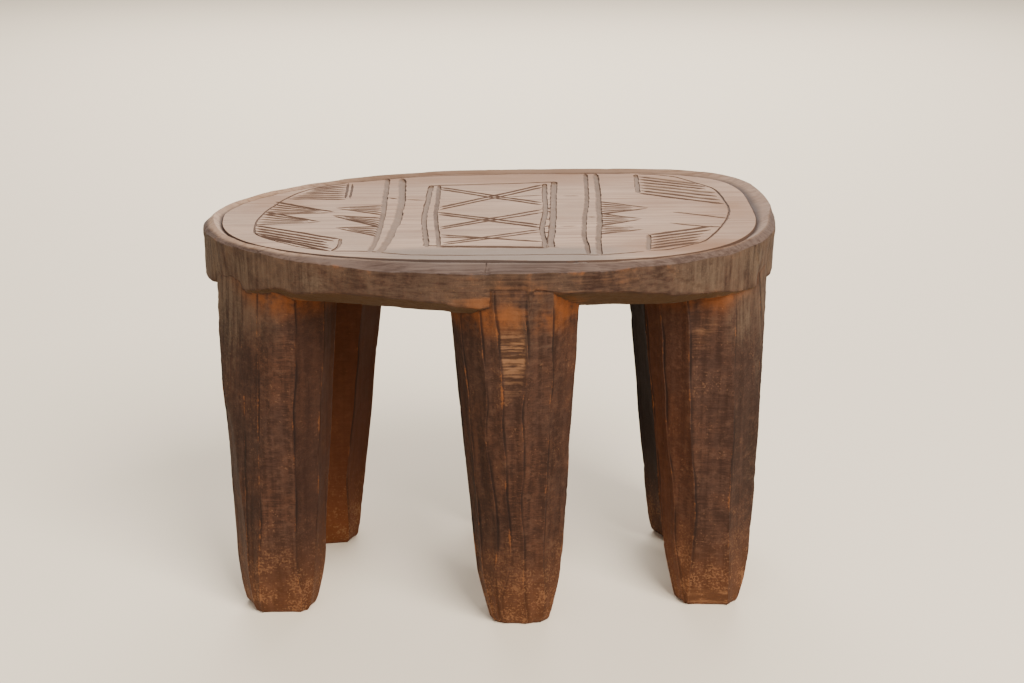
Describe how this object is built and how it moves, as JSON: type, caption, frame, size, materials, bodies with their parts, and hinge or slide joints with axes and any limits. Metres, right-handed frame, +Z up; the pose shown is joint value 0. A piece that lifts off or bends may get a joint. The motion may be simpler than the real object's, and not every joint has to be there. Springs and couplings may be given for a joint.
{
  "type": "carved wooden stool",
  "caption": "Low oval West African hardwood stool with a rimmed, geometrically carved seat panel on stout faceted legs that taper to small flat feet.",
  "frame": {"origin": "on the floor, under the middle of the seat's length and width", "axes": "+X to the right end of the seat as seen from the front, +Y to its back, +Z up"},
  "size_m": [0.4302, 0.2505, 0.295],
  "materials": {
    "seat_wood": "worn satin hardwood, paler on the sat-on panel, darker in the carved grooves",
    "leg_wood": "dark red-brown adzed hardwood with orange wear on the facet edges"
  },
  "bodies": {
    "root": {"seat": "seat_wood", "leg_front_left": "leg_wood", "leg_front_centre": "leg_wood", "leg_front_right": "leg_wood", "leg_back_left": "leg_wood", "leg_back_centre": "leg_wood", "leg_back_right": "leg_wood"}
  },
  "joints": []
}
